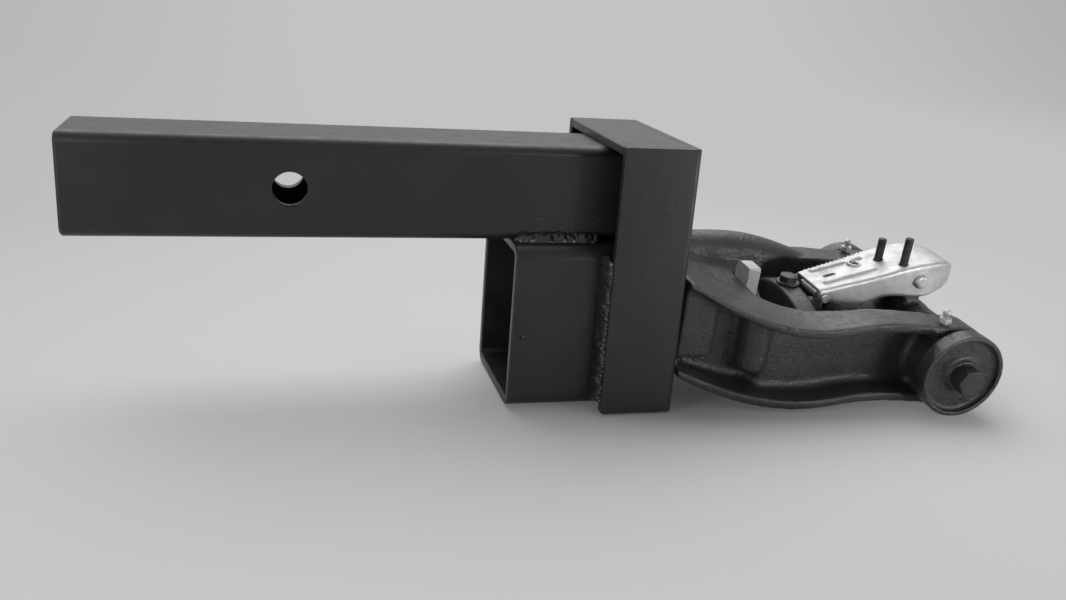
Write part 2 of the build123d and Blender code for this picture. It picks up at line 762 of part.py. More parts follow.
def make_ball_clamp():
    """The pawl behind the socket: a hinge eye, a jaw hollowed to the ball and a tail."""
    x, z = clamp_pin_at
    eye = clamp_pin_diameter
    tail = x - clamp_tail_back
    outline = Polyline((tail, clamp_tail_top), (tail + clamp_tail_length, clamp_tail_top),
                       (x - eye / 2, clamp_tail_top - 1), (x + eye * 1.75, z + eye * 0.75),
                       (x + clamp_jaw_reach, z - eye / 4), (x + clamp_jaw_reach, z - clamp_jaw_drop),
                       (x + eye, z - clamp_jaw_drop), (x - eye, z - eye * 0.9),
                       (tail, clamp_tail_top - eye * 0.8), (tail, clamp_tail_top))
    jaw = side_shape(outline, clamp_pocket_half_width - clamp_side_gap)
    jaw = fillet(jaw.edges().filter_by(Axis.Y).group_by(Axis.X)[0], clamp_round)
    jaw -= Pos(0, 0, ball_z) * Sphere(socket_radius + clamp_ball_gap)
    jaw -= rod(clamp_pin_diameter / 2 + running_clearance, -through, through, "y", clamp_pin_at)
    space = clamp_pin_diameter / 2 + 2 * spring_clearance + spring_wire + seat_gap
    return jaw - rod(space, -spring_half_length, spring_half_length, "y", clamp_pin_at)


def make_clamp_spring():
    """A torsion spring coiled on the clamp's hinge pin."""
    pitch = spring_wire + seat_gap
    height = 2 * spring_half_length - 2.6 * spring_wire
    mean_radius = clamp_pin_diameter / 2 + spring_clearance + spring_wire / 2
    path = Helix(pitch=pitch, height=height, radius=mean_radius)
    coil = sweep(Plane(origin=path @ 0, z_dir=path % 0) * Circle(spring_wire / 2), path=path)
    return Pos(clamp_pin_at[0], height / 2, clamp_pin_at[1]) * Rot(90, 0, 0) * coil


# Latch lever

def lever_back_z(part):
    """Height of the lever's back: 0 at the tip, 1 above the rivet."""
    return rivet_z + lever_tip_top + part * (lever_crown - lever_tip_top)


def lever_outline(drop=0.0):
    """The lever from the side: a rising back, a deep cheek behind the rivet and a rounded nose."""
    back = [(lever_tip + part * lever_back, lever_back_z(share) - drop)
            for part, share in ((0.0, 0.0), (0.24, 0.23), (0.49, 0.47), (0.77, 0.77), (1.02, 0.96),
                                (1.23, 1.0))]
    back = Spline(*back, (lever_nose, rivet_z + lever_nose_top - drop))
    cheek = rivet_z + lever_cheek
    deep = rivet_z + lever_deep
    tip = rivet_z + lever_tip_bottom
    nose = rivet_z + lever_nose_bottom
    belly = [(lever_nose, nose)]
    belly += [(rivet_x + part * lever_front, cheek + share * (nose - cheek))
              for part, share in ((0.78, 0.70), (0.5, 0.42), (0.22, 0.05))]
    belly += [(rivet_x - part * lever_back, deep + share * (cheek - deep))
              for part, share in ((0.11, 1.0), (0.31, 1.02), (0.46, 0.57), (0.57, 0.1), (0.68, 0.0))]
    belly += [(rivet_x - part * lever_back, deep + share * (tip - deep))
              for part, share in ((0.80, 0.5), (0.9, 0.85))]
    belly = Spline(*belly, (lever_tip, tip))
    return back + belly + Line(back @ 1, belly @ 0) + Line(belly @ 1, back @ 0)


def lever_plan(inset=0.0):
    """The lever from above, with a tapered tip and an elliptical nose; an inset one is open at the tip."""
    tip = lever_tip_half_width - inset
    wide = lever_half_width - inset
    start = lever_tip - 2 * inset
    nose_start = lever_nose - lever_nose_length
    side = Polyline((start, tip), (rivet_x - lever_taper_end, wide), (nose_start, wide))
    nose = Spline((nose_start, wide), (nose_start + 0.7 * lever_nose_length, wide * 0.72),
                  (lever_nose - inset, 0), tangents=[(1, 0), (0, -1)])
    half = side + nose
    return half + mirror(half, Plane.XZ) + Line((start, -tip), (start, tip))


def make_lever():
    lever = side_shape(lever_outline(), through) & plan_shape(lever_plan())
    rims = [e for e in lever.edges() if e.center().Z > lever_back_z(0) and e.length > lever_nose_length / 2
            and abs(e.center().Y) > lever_tip_half_width / 2]
    lever = fillet(rims, lever_bend)
    hollow = side_shape(lever_outline(lever_sheet), through)
    hollow += Pos(0, 0, lever_tip_bottom) * hollow
    lever -= hollow & plan_shape(lever_plan(lever_sheet))

    rise = (lever_crown - lever_tip_top) / lever_back
    for side in (-1, 1):
        rib = Cylinder(lever_rib_radius, lever_rib_length, align=(Align.CENTER, Align.CENTER, Align.MIN))
        lever += Pos(lever_tip + lever_rib_inset, side * lever_rib_offset,
                     lever_back_z(lever_rib_inset / lever_back)) * Rot(0, 90 - degrees(atan(rise)), 0) * rib
    slot = lever_tip + lever_slot_inset
    lever -= block(slot, slot + lever_slot_length, -lever_slot_width / 2, lever_slot_width / 2,
                   lever_back_z(0) - lever_sheet, through)
    hole_at = (lever_tip + lever_hole_inset, lever_hole_offset)
    hole_z = lever_back_z(lever_hole_inset / lever_back)
    lever += rod(lever_hole_radius + lever_hole_rim, hole_z - 1.5, hole_z + lever_hole_rise, "z", hole_at)
    lever -= rod(lever_hole_radius, lever_back_z(0), through, "z", hole_at)
    widening = lever_half_width - lever_tip_half_width
    for step in range(lever_dot_count):
        x = lever_tip + lever_dot_inset + lever_dot_pitch * step
        edge = lever_tip_half_width + widening * (x - lever_tip) / lever_back
        lever -= rod(lever_dot_radius, lever_back_z(0) - lever_sheet, through, "z",
                     (x, edge - lever_dot_edge))
    for x, y, _ in latch_pin_spots.values():
        lever -= rod(latch_pin_diameter / 2 + press_clearance, rivet_z, through, "z", (x, y))
    lever -= rod(rivet_diameter / 2 + running_clearance, -through, through, "y", (rivet_x, rivet_z))
    # the locking finger that stands over the clamp's tail
    finger_part = (finger_start - lever_tip) / lever_back
    lever += block(finger_start, finger_start + finger_thickness, -finger_half_width, finger_half_width,
                   clamp_tail_top + seat_gap, lever_back_z(finger_part) - lever_sheet / 2)
    return lever - rod(tip_pin_diameter / 2 + press_clearance, -through, through, "y", tip_pin_at)


def make_latch_pin(name):
    x, y, height = latch_pin_spots[name]
    surface = lever_back_z((x - lever_tip) / lever_back)
    pin = rod(latch_pin_diameter / 2, surface - lever_sheet - latch_pin_below, surface + height, "z", (x, y))
    return fillet(pin.edges().group_by(Axis.Z)[-1], latch_pin_round)


def make_rivet():
    reach = lever_half_width + seat_gap / 2
    rivet = rod(rivet_diameter / 2, -reach - 1, reach + 1, "y", (rivet_x, rivet_z))
    head = rod(rivet_head_diameter / 2, reach, reach + rivet_head_height, "y", (rivet_x, rivet_z))
    head = fillet(head.edges().group_by(Axis.Y)[-1], rivet_head_round)
    return rivet + both_sides(head)


def make_tip_pin():
    """The roller's pin, headed at both ends outside the lever's ears."""
    reach = lever_tip_half_width + tip_pin_head
    pin = rod(tip_pin_diameter / 2, -reach, reach, "y", tip_pin_at)
    head = rod(tip_pin_diameter / 2 + tip_pin_head, reach, reach + tip_pin_head_length, "y", tip_pin_at)
    return pin + both_sides(head)


def make_tip_roller():
    return ring(roller_radius, tip_pin_diameter / 2 + running_clearance, -roller_half_length,
                roller_half_length, "y", tip_pin_at)


def main():
    os.makedirs("parts", exist_ok=True)
    sides = (("near", -1), ("far", 1))
    row_frame = Location()
    save("shank_tube", [make_shank()], row_frame)
    save("receiver_tube", [make_receiver_tube()], row_frame)
    save("bracket_channel", [make_channel()], row_frame)
    save("bracket_cap", [make_cap()], row_frame)
    save("shank_welds", [make_shank_weld(side) for _, side in sides], row_frame)
    save("tube_welds", [make_tube_weld(side) for _, side in sides], row_frame)
    save("roll_sleeve", [make_sleeve()], row_frame)
    save("roll_bush", [make_roll_bush()], row_frame)

    save("thrust_washer", [make_thrust_washer()], yoke_frame)
    save("roll_spindle", [make_spindle()], yoke_frame)
    save("spindle_washer", [make_spindle_washer()], yoke_frame)
    save("spindle_nut", [make_spindle_nut()], yoke_frame)
    save("split_pin", [make_split_pin()], yoke_frame)
    save("yoke", [make_yoke()], yoke_frame)
    save("stop_bar", [make_stop_bar()], yoke_frame)
    save("stop_bar_bolts", [make_stop_bolt(z) for z in (stop_bolt_upper, stop_bolt_lower)], yoke_frame)
    save("grease_nipples", [make_nipple(side) for _, side in sides], yoke_frame)
    save("root_welds", [make_root_weld(side) for _, side in sides], yoke_frame)

    save("coupler_head", [make_head()], head_frame)
    save("collar_bolt", [make_collar_bolt()], head_frame)
    save("clamp_pin", [make_clamp_pin()], head_frame)
    save("clamp_spring", [make_clamp_spring()], head_frame)
    save("ball_clamp", [make_ball_clamp()], head_frame)
    save("latch_lever", [make_lever()], head_frame)
    save("lever_rivet", [make_rivet()], head_frame)
    save("lever_pin_rear", [make_latch_pin("rear")], head_frame)
    save("lever_pin_front", [make_latch_pin("front")], head_frame)
    save("tip_pin", [make_tip_pin()], head_frame)
    save("tip_roller", [make_tip_roller()], head_frame)
    for name, side in sides:
        save(f"boss_bush_{name}", [make_boss_bush(side)], yoke_frame)
        save(f"pivot_pin_{name}", [make_pivot_pin(side)], head_frame)
        save(f"side_washer_{name}", [make_side_washer(side)], head_frame)
        save(f"end_cap_{name}", [make_end_cap(side)], head_frame)
        save(f"cap_bolt_{name}", [make_cap_bolt(side)], head_frame)


main()
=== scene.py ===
import json
import random
from math import atan2, cos, pi, radians, sin, tau

import bmesh
import bpy
from bpy.props import FloatProperty, FloatVectorProperty, PointerProperty
from mathutils import Euler, Matrix, Vector, noise as wave


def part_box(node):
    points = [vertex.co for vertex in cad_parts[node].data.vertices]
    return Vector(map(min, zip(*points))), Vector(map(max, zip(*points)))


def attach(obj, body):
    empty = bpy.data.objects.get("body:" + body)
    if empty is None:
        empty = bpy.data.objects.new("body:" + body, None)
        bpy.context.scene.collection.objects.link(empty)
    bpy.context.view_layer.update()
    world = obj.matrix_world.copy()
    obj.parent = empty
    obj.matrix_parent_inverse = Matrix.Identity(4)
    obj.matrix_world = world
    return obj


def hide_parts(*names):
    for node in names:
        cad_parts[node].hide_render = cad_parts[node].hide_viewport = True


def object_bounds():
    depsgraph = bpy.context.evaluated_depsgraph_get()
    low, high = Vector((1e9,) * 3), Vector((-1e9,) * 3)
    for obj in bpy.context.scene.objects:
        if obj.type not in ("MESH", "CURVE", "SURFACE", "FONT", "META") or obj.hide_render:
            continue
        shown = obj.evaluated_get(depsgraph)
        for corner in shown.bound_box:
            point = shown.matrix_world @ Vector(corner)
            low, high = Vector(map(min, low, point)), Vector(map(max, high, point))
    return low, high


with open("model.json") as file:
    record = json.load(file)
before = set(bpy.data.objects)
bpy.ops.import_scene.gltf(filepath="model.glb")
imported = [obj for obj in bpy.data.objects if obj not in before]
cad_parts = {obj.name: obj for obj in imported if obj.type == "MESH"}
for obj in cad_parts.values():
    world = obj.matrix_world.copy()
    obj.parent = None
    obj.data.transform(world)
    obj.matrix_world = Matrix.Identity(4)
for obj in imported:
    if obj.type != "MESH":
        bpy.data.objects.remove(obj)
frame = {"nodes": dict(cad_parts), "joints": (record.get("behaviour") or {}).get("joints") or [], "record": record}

bl_info = {
    "name": "Trailer coupler dressing",
    "version": (1, 1, 0),
    "blender": (4, 5, 0),
    "location": "View3D > Sidebar > Coupler",
    "description": "Finishes a rolling and pitching trailer coupler around its packed frame",
    "category": "Object",
}

CAD_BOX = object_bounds()
FLOOR_HEIGHT = CAD_BOX[0][2]
JOINT = {joint["name"]: joint for joint in frame["joints"]}
SLOT_OF = {part["node"]: part["material_slot"] for part in frame["record"]["subparts"]}

# The yoke stands on the roll axis, rolled by the angle that its pitch axis shows
ROLL_AXIS = Vector(JOINT["yoke_roll"]["pos_m"])
PITCH_DIRECTION = Vector(JOINT["head_pitch"]["axis"])
YOKE_FRAME = (Matrix.Translation(ROLL_AXIS)
              @ Matrix.Rotation(atan2(PITCH_DIRECTION.z, PITCH_DIRECTION.y), 4, "X"))


# Settings shown in the sidebar

class CouplerFinish(bpy.types.PropertyGroup):
    """Colours and surface sizes of the coupler's finishes."""
    powder_colour: FloatVectorProperty(
        name="Powder coat", description="Black powder coat on the welded bracket", size=3,
        subtype="COLOR", min=0, max=1, default=(0.014, 0.014, 0.015))
    casting_colour: FloatVectorProperty(
        name="Casting coat", description="Black coat on the cast yoke and head", size=3,
        subtype="COLOR", min=0, max=1, default=(0.028, 0.028, 0.029))
    oxide_colour: FloatVectorProperty(
        name="Black oxide", description="Bolts and latch pins", size=3,
        subtype="COLOR", min=0, max=1, default=(0.035, 0.035, 0.036))
    zinc_colour: FloatVectorProperty(
        name="Zinc plate", description="Latch lever, rivet and grease nipples", size=3,
        subtype="COLOR", min=0, max=1, default=(0.52, 0.52, 0.53))
    galvanised_colour: FloatVectorProperty(
        name="Dull zinc", description="Stop bar and ball clamp", size=3,
        subtype="COLOR", min=0, max=1, default=(0.50, 0.50, 0.50))
    steel_colour: FloatVectorProperty(
        name="Turned steel", description="Spindle and pins", size=3,
        subtype="COLOR", min=0, max=1, default=(0.50, 0.50, 0.51))
    bronze_colour: FloatVectorProperty(
        name="Bronze", description="Bushes and thrust washers", size=3,
        subtype="COLOR", min=0, max=1, default=(0.45, 0.30, 0.13))
    powder_grain: FloatProperty(
        name="Powder grain", description="Size of the powder coat's texture", subtype="DISTANCE",
        unit="LENGTH", min=0.0002, default=0.0011)
    casting_grain: FloatProperty(
        name="Casting grain", description="Size of the sand-cast texture", subtype="DISTANCE",
        unit="LENGTH", min=0.0004, default=0.0018)
    casting_voxel: FloatProperty(
        name="Casting voxel", description="Mesh size of the yoke and the head",
        subtype="DISTANCE", unit="LENGTH", min=0.0005, default=0.0009)
    casting_fillet: FloatProperty(
        name="Casting fillet", description="Radius that fills the castings' inner corners",
        subtype="DISTANCE", unit="LENGTH", min=0, default=0.0022)
    sheet_voxel: FloatProperty(
        name="Lever voxel", description="Mesh size of the pressed lever",
        subtype="DISTANCE", unit="LENGTH", min=0.0002, default=0.00042)
    plate_edge: FloatProperty(
        name="Plate edge", description="Rounding of the bracket's cut edges", subtype="DISTANCE",
        unit="LENGTH", min=0.0001, default=0.0008)
    weld_pitch: FloatProperty(
        name="Weld ripple", description="Distance between the ripples of a weld bead",
        subtype="DISTANCE", unit="LENGTH", min=0.0005, default=0.0021)
    thread_pitch: FloatProperty(
        name="Spindle thread", description="Pitch of the roll spindle's thread", subtype="DISTANCE",
        unit="LENGTH", min=0.0005, default=0.0022)


class CouplerStage(bpy.types.PropertyGroup):
    """Camera, floor and lamps."""
    camera_place: FloatVectorProperty(
        name="Camera place", description="Camera position in the row frame", size=3,
        subtype="TRANSLATION", unit="LENGTH", default=(-0.0132, -0.5271, 0.1101))
    camera_turn: FloatVectorProperty(
        name="Camera turn", description="Camera rotation", size=3, subtype="EULER",
        default=(radians(72.0163), radians(-4.1748), radians(-14.3859)))
    lens: FloatProperty(
        name="Lens", description="Focal length in millimetres on a 36 mm wide sensor",
        min=10, default=34.07)
    floor_colour: FloatVectorProperty(
        name="Floor", description="Pale sweep under and behind the coupler", size=3,
        subtype="COLOR", min=0, max=1, default=(0.72, 0.72, 0.72))
    backdrop_tone: FloatProperty(
        name="Backdrop tone", description="Brightness of the backdrop where it is looked at",
        min=0, max=1, default=0.545)
    room_tone: FloatProperty(
        name="Room tone", description="Brightness of the room in front where it is looked at",
        min=0, max=1, default=0.46)
    air_power: FloatProperty(
        name="Room light", description="Strength of the light from above and behind", min=0,
        default=0.38)
    overhead_power: FloatProperty(
        name="Overhead lamp", description="Strength of the broad lamp above", min=0, default=30.5)
    side_power: FloatProperty(
        name="Side lamp", description="Strength of the lamp at the front left", min=0,
        default=1.1)
    fill_power: FloatProperty(
        name="Fill lamp", description="Strength of the low lamp at the front right", min=0,
        default=6.5)
    lever_power: FloatProperty(
        name="Lever lamp", description="Strength of the narrow lamp on the lever and the cap",
        min=0, default=0.055)


# Node helpers

def new_surface(name):
    """A material with nodes; returns it with its tree and shader."""
    surface = bpy.data.materials.new(name)
    surface.use_nodes = True
    tree = surface.node_tree
    return surface, tree, tree.nodes["Principled BSDF"]


def object_place(tree):
    """Place on the surface in metres, which stays with the piece in every pose."""
    return tree.nodes.new("ShaderNodeTexCoord").outputs["Object"]


def upright(tree, wall, top):
    """One value on walls and another on faces that look straight up or down."""
    normal = tree.nodes.new("ShaderNodeSeparateXYZ")
    tree.links.new(tree.nodes.new("ShaderNodeTexCoord").outputs["Normal"],
                   normal.inputs["Vector"])
    lean = maths(tree, "ABSOLUTE", normal.outputs["Z"], 0.0)
    return spread(tree, lean, wall, top, from_low=0.55, from_high=0.95)


def stretched(tree, place, scale):
    """Place scaled along each axis."""
    mapping = tree.nodes.new("ShaderNodeMapping")
    mapping.inputs["Scale"].default_value = scale
    tree.links.new(place, mapping.inputs["Vector"])
    return mapping.outputs["Vector"]


def noise(tree, place, size, detail=2.0, roughness=0.5):
    """Noise whose features are about the given size in metres."""
    node = tree.nodes.new("ShaderNodeTexNoise")
    node.inputs["Scale"].default_value = 1 / size
    node.inputs["Detail"].default_value = detail
    node.inputs["Roughness"].default_value = roughness
    tree.links.new(place, node.inputs["Vector"])
    return node.outputs["Fac"]


def cells(tree, place, size):
    """Cells of about the given size, each with a value of its own."""
    node = tree.nodes.new("ShaderNodeTexVoronoi")
    node.inputs["Scale"].default_value = 1 / size
    tree.links.new(place, node.inputs["Vector"])
    separate = tree.nodes.new("ShaderNodeSeparateColor")
    tree.links.new(node.outputs["Color"], separate.inputs["Color"])
    return separate.outputs["Red"]


def spread(tree, value, low, high, from_low=0.35, from_high=0.65):
    """Map from_low to low and from_high to high, with flat ends."""
    node = tree.nodes.new("ShaderNodeMapRange")
    node.inputs["From Min"].default_value = from_low
    node.inputs["From Max"].default_value = from_high
    node.inputs["To Min"].default_value = low
    node.inputs["To Max"].default_value = high
    tree.links.new(value, node.inputs["Value"])
    return node.outputs["Result"]


def maths(tree, operation, first, second):
    """Clamped result of two values, each a number or another node's output."""
    node = tree.nodes.new("ShaderNodeMath")
    node.operation = operation
    node.use_clamp = True
    for socket, value in zip(node.inputs, (first, second)):
        if isinstance(value, (int, float)):
            socket.default_value = value
        else:
            tree.links.new(value, socket)
    return node.outputs["Value"]


def tint(tree, factor, first, second):
    """Mix of two colours, each a tuple or another node's output."""
    node = tree.nodes.new("ShaderNodeMix")
    node.data_type = "RGBA"
    tree.links.new(factor, node.inputs["Factor"])
    for name, colour in (("A", first), ("B", second)):
        socket = next(s for s in node.inputs if s.name == name and s.type == "RGBA")
        if isinstance(colour, tuple):
            socket.default_value = (*colour, 1)
        else:
            tree.links.new(colour, socket)
    return next(s for s in node.outputs if s.type == "RGBA")


def bump(tree, height, depth, below=None):
    """Normal of a height of the given depth in metres, laid over another bump."""
    node = tree.nodes.new("ShaderNodeBump")
    node.inputs["Strength"].default_value = 1.0
    node.inputs["Distance"].default_value = depth
    tree.links.new(height, node.inputs["Height"])
    if below:
        tree.links.new(below, node.inputs["Normal"])
    return node.outputs["Normal"]


def rubbed_ridge_and_highlight(tree, place, patch):
    """1 along the convex ridges of a dense mesh, broken up by noise: rubbed paint there, and painted highlight
    lines.
    """
    pointed = tree.nodes.new("ShaderNodeNewGeometry").outputs["Pointiness"]
    ridge = spread(tree, pointed, 0.0, 1.0, from_low=0.52, from_high=0.57)
    patches = noise(tree, place, patch, detail=5, roughness=0.65)
    return maths(tree, "MULTIPLY", ridge,
                 spread(tree, patches, 0.0, 1.0, from_low=0.42, from_high=0.60))


def worn_edge_and_highlight(tree, radius, place, patch=0.004):
    """1 along outer edges, broken up by noise: where a coat rubs thin, and, on the powder coat, a painted edge
    highlight.
    """
    bevel = tree.nodes.new("ShaderNodeBevel")
    bevel.samples = 4
    bevel.inputs["Radius"].default_value = radius
    geometry = tree.nodes.new("ShaderNodeNewGeometry")
    dot = tree.nodes.new("ShaderNodeVectorMath")
    dot.operation = "DOT_PRODUCT"
    tree.links.new(bevel.outputs["Normal"], dot.inputs[0])
    tree.links.new(geometry.outputs["Normal"], dot.inputs[1])
    edge = spread(tree, dot.outputs["Value"], 1.0, 0.0, from_low=0.86, from_high=0.985)
    patches = noise(tree, place, patch, detail=4, roughness=0.6)
    return maths(tree, "MULTIPLY", edge,
                 spread(tree, patches, 0.0, 1.0, from_low=0.44, from_high=0.60))


def looked_at(tree):
    """1 for rays from the camera, a mirror or glass, 0 for the light that falls on things."""
    path = tree.nodes.new("ShaderNodeLightPath")
    either = maths(tree, "ADD", path.outputs["Is Camera Ray"], path.outputs["Is Glossy Ray"])
    return maths(tree, "ADD", either, path.outputs["Is Transmission Ray"])


def lighter(colour, factor):
    """A colour times a factor, which may also be under 1."""
    return tuple(min(1.0, channel * factor) for channel in colour)


# Finishes

def powder_coat(finish, name="black_powder_coat", grain_depth=0.00004, gloss=0.0):
    """Satin black powder coat with a fine orange peel, cloudy tone, and edges lightened as rubbed-thin coat and
    painted highlight.
    """
    surface, tree, shader = new_surface(name)
    place = object_place(tree)
    colour = tuple(finish.powder_colour)
    cloud = noise(tree, place, size=0.05, detail=5)
    base = tint(tree, spread(tree, cloud, 0, 1), colour, lighter(colour, 1.5))
    dust = noise(tree, place, size=0.0007, detail=2)
    speck = spread(tree, dust, 0, 1, from_low=0.70, from_high=0.74)
    base = tint(tree, speck, base, lighter(colour, 4.0))
    # Lighter along the outer edges: coat rubbed thin there, and a painted edge highlight
    base = tint(tree, worn_edge_and_highlight(tree, 0.0012, place), base, lighter(colour, 5.0))
    tree.links.new(base, shader.inputs["Base Color"])
    haze = noise(tree, place, size=0.012, detail=6)
    tree.links.new(spread(tree, haze, 0.34 - gloss, 0.47 - gloss), shader.inputs["Roughness"])
    shader.inputs["Specular IOR Level"].default_value = 0.42 + 2 * gloss
    grain = noise(tree, place, finish.powder_grain, detail=3)
    peel = noise(tree, place, finish.powder_grain * 4, detail=1)
    tree.links.new(bump(tree, grain, grain_depth, bump(tree, peel, grain_depth * 2)),
                   shader.inputs["Normal"])
    return surface


def casting_coat(finish, name="black_casting_coat", swell_depth=0.0004, gloss=0.0):
    """Glossier black coat over sand-cast iron: grain, a slow swell, and ridges lightened as rubbed paint and
    painted highlight lines.
    """
    surface, tree, shader = new_surface(name)
    place = object_place(tree)
    colour = tuple(finish.casting_colour)
    cloud = noise(tree, place, size=0.02, detail=5)
    base = tint(tree, spread(tree, cloud, 0, 1), colour, lighter(colour, 1.5))
    # Lighter on the convex ridges: rubbed paint, and painted highlight lines
    base = tint(tree, rubbed_ridge_and_highlight(tree, place, 0.0013), base, lighter(colour, 5.0))
    tree.links.new(base, shader.inputs["Base Color"])
    haze = noise(tree, place, size=0.007, detail=5)
    tree.links.new(spread(tree, haze, 0.30 - gloss, 0.43 - gloss), shader.inputs["Roughness"])
    shader.inputs["Specular IOR Level"].default_value = 0.46 + gloss
    sand_depth, pit_depth = 0.00042, 0.00012
    grain = noise(tree, place, finish.casting_grain, detail=5, roughness=0.62)
    sand = maths(tree, "MULTIPLY", grain, upright(tree, wall=1.0, top=0.25))
    hollows = noise(tree, place, finish.casting_grain * 2, detail=3)
    pits = spread(tree, hollows, 0, 1, from_low=0.36, from_high=0.46)
    waves = noise(tree, place, finish.casting_grain * 7, detail=2)
    under = bump(tree, pits, pit_depth, bump(tree, waves, swell_depth))
    tree.links.new(bump(tree, sand, sand_depth, under), shader.inputs["Normal"])
    return surface


def zinc_plate(name, colour, metallic, dull):
    """Zinc with faint spangle, smudges, handling scratches and soft dents."""
    surface, tree, shader = new_surface(name)
    place = object_place(tree)
    shader.inputs["Metallic"].default_value = metallic
    spangle = cells(tree, place, size=0.0035)
    smudge = noise(tree, place, size=0.013, detail=6, roughness=0.6)
    base = tint(tree, spangle, lighter(colour, 0.90), lighter(colour, 1.08))
    dirt = spread(tree, smudge, 0, 0.5, from_low=0.53, from_high=0.72)
    base = tint(tree, dirt, base, lighter(colour, 0.55))
    tree.links.new(base, shader.inputs["Base Color"])
    scratch = noise(tree, stretched(tree, place, (60, 900, 900)), size=1.0, detail=3)
    tree.links.new(maths(tree, "ADD", spread(tree, smudge, 0.38 + dull, 0.54 + dull),
                         spread(tree, scratch, 0.0, 0.10)), shader.inputs["Roughness"])
    scratch_depth, dent_depth = 0.00001, 0.00016
    dents = noise(tree, place, size=0.007, detail=2)
    tree.links.new(bump(tree, scratch, scratch_depth, bump(tree, dents, dent_depth)),
                   shader.inputs["Normal"])
    return surface


def turned_steel(name, colour):
    """Bare turned metal, lightly stained."""
    surface, tree, shader = new_surface(name)
    place = object_place(tree)
    shader.inputs["Metallic"].default_value = 1.0
    stain = spread(tree, noise(tree, place, size=0.008, detail=5), 0, 1)
    tree.links.new(tint(tree, stain, lighter(colour, 0.75), lighter(colour, 1.1)),
                   shader.inputs["Base Color"])
    haze = noise(tree, place, size=0.003, detail=4)
    tree.links.new(spread(tree, haze, 0.22, 0.42), shader.inputs["Roughness"])
    grain, grain_depth = noise(tree, place, size=0.0008, detail=3), 0.00002
    tree.links.new(bump(tree, grain, grain_depth), shader.inputs["Normal"])
    return surface


def black_oxide(finish):
    """Oiled black oxide, rubbed grey on the corners."""
    surface, tree, shader = new_surface("black_oxide")
    place = object_place(tree)
    colour = tuple(finish.oxide_colour)
    shader.inputs["Metallic"].default_value = 0.5
    stain = noise(tree, place, size=0.006, detail=5)
    base = tint(tree, spread(tree, stain, 0, 1), colour, lighter(colour, 1.8))
    base = tint(tree, worn_edge_and_highlight(tree, 0.0006, place, patch=0.0015), base, lighter(colour, 5))
    tree.links.new(base, shader.inputs["Base Color"])
    haze = noise(tree, place, size=0.002, detail=4)
    tree.links.new(spread(tree, haze, 0.28, 0.46), shader.inputs["Roughness"])
    grain, grain_depth = noise(tree, place, size=0.0009, detail=3), 0.00004
    tree.links.new(bump(tree, grain, grain_depth), shader.inputs["Normal"])
    return surface


SURFACES = {}


def surface_for(slot_name):
    """The finish of one of the record's material slots, made once."""
    finish = bpy.context.scene.coupler_finish
    zinc, dull_zinc = tuple(finish.zinc_colour), tuple(finish.galvanised_colour)
    makers = {
        "powder_coat": lambda: powder_coat(finish),
        "weld_bead": lambda: powder_coat(finish, "coated_weld", grain_depth=0.00012, gloss=0.11),
        "cast_black": lambda: casting_coat(finish),
        "black_oxide": lambda: black_oxide(finish),
        "bright_steel": lambda: turned_steel("turned_steel", tuple(finish.steel_colour)),
        "zinc_plate": lambda: zinc_plate("bright_zinc_plate", zinc, metallic=0.85, dull=0.0),
        "grey_steel": lambda: zinc_plate("dull_zinc", dull_zinc, metallic=0.6, dull=0.18),
        "spring_steel": lambda: turned_steel("spring_steel", lighter(finish.steel_colour, 0.6)),
        "bronze": lambda: turned_steel("bronze", tuple(finish.bronze_colour)),
    }
    if slot_name not in SURFACES:
        SURFACES[slot_name] = makers[slot_name]()
    return SURFACES[slot_name]


def dress(node, surface=None):
    """Give a CAD node the finish of its slot, or the one that is passed."""
    obj = frame["nodes"][node]
    for slot in obj.material_slots:
        slot.material = surface or surface_for(SLOT_OF[node])
    return obj


# Modifiers that finish a CAD node; its mesh stays as packed

def soften_edges(obj, width, segments=2):
    """Join the facets of flat faces and round the cut edges."""
    seam_gap, flat_angle, edge_angle = 0.000002, radians(0.6), radians(35)
    weld = obj.modifiers.new("weld", "WELD")
    weld.merge_threshold = seam_gap
    flats = obj.modifiers.new("flats", "DECIMATE")
    flats.decimate_type = "DISSOLVE"
    flats.angle_limit = flat_angle
    bevel = obj.modifiers.new("edge", "BEVEL")
    bevel.width = width
    bevel.segments = segments
    bevel.limit_method = "ANGLE"
    bevel.angle_limit = edge_angle
    bevel.miter_outer = "MITER_ARC"
    bevel.harden_normals = True


def remesh(obj, voxel):
    """Mesh the shape anew with smooth, even faces."""
    step = obj.modifiers.new("mould", "REMESH")
    step.mode = "VOXEL"
    step.voxel_size = voxel
    step.use_smooth_shade = True


def swell(obj, distance):
    """Move the surface outwards, or inwards where the distance is negative."""
    step = obj.modifiers.new("swell", "DISPLACE")
    step.direction = "NORMAL"
    step.mid_level = 0.0
    step.strength = distance


def soften_casting(obj, voxel, fillet, passes=5):
    """Fill the inner corners with fillets and round the outer ones, as a mould does."""
    remesh(obj, voxel)
    swell(obj, fillet)
    remesh(obj, voxel)
    swell(obj, -fillet)
    remesh(obj, voxel)
    smooth = obj.modifiers.new("round", "SMOOTH")
    smooth.factor = 0.5
    smooth.iterations = passes


# Mesh helpers; a sheet is a bmesh in the row frame

def piece_from(sheet, name, slot_name, body, *nodes):
    """Make a piece from a sheet; it rides on a body and stands for CAD nodes."""
    bmesh.ops.recalc_face_normals(sheet, faces=sheet.faces)
    mesh = bpy.data.meshes.new(name)
    sheet.to_mesh(mesh)
    sheet.free()
    for face in mesh.polygons:
        face.use_smooth = True
    mesh.materials.append(surface_for(slot_name))
    obj = bpy.data.objects.new(name, mesh)
    bpy.context.collection.objects.link(obj)
    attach(obj, body)
    if nodes:
        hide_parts(*nodes)
    return obj


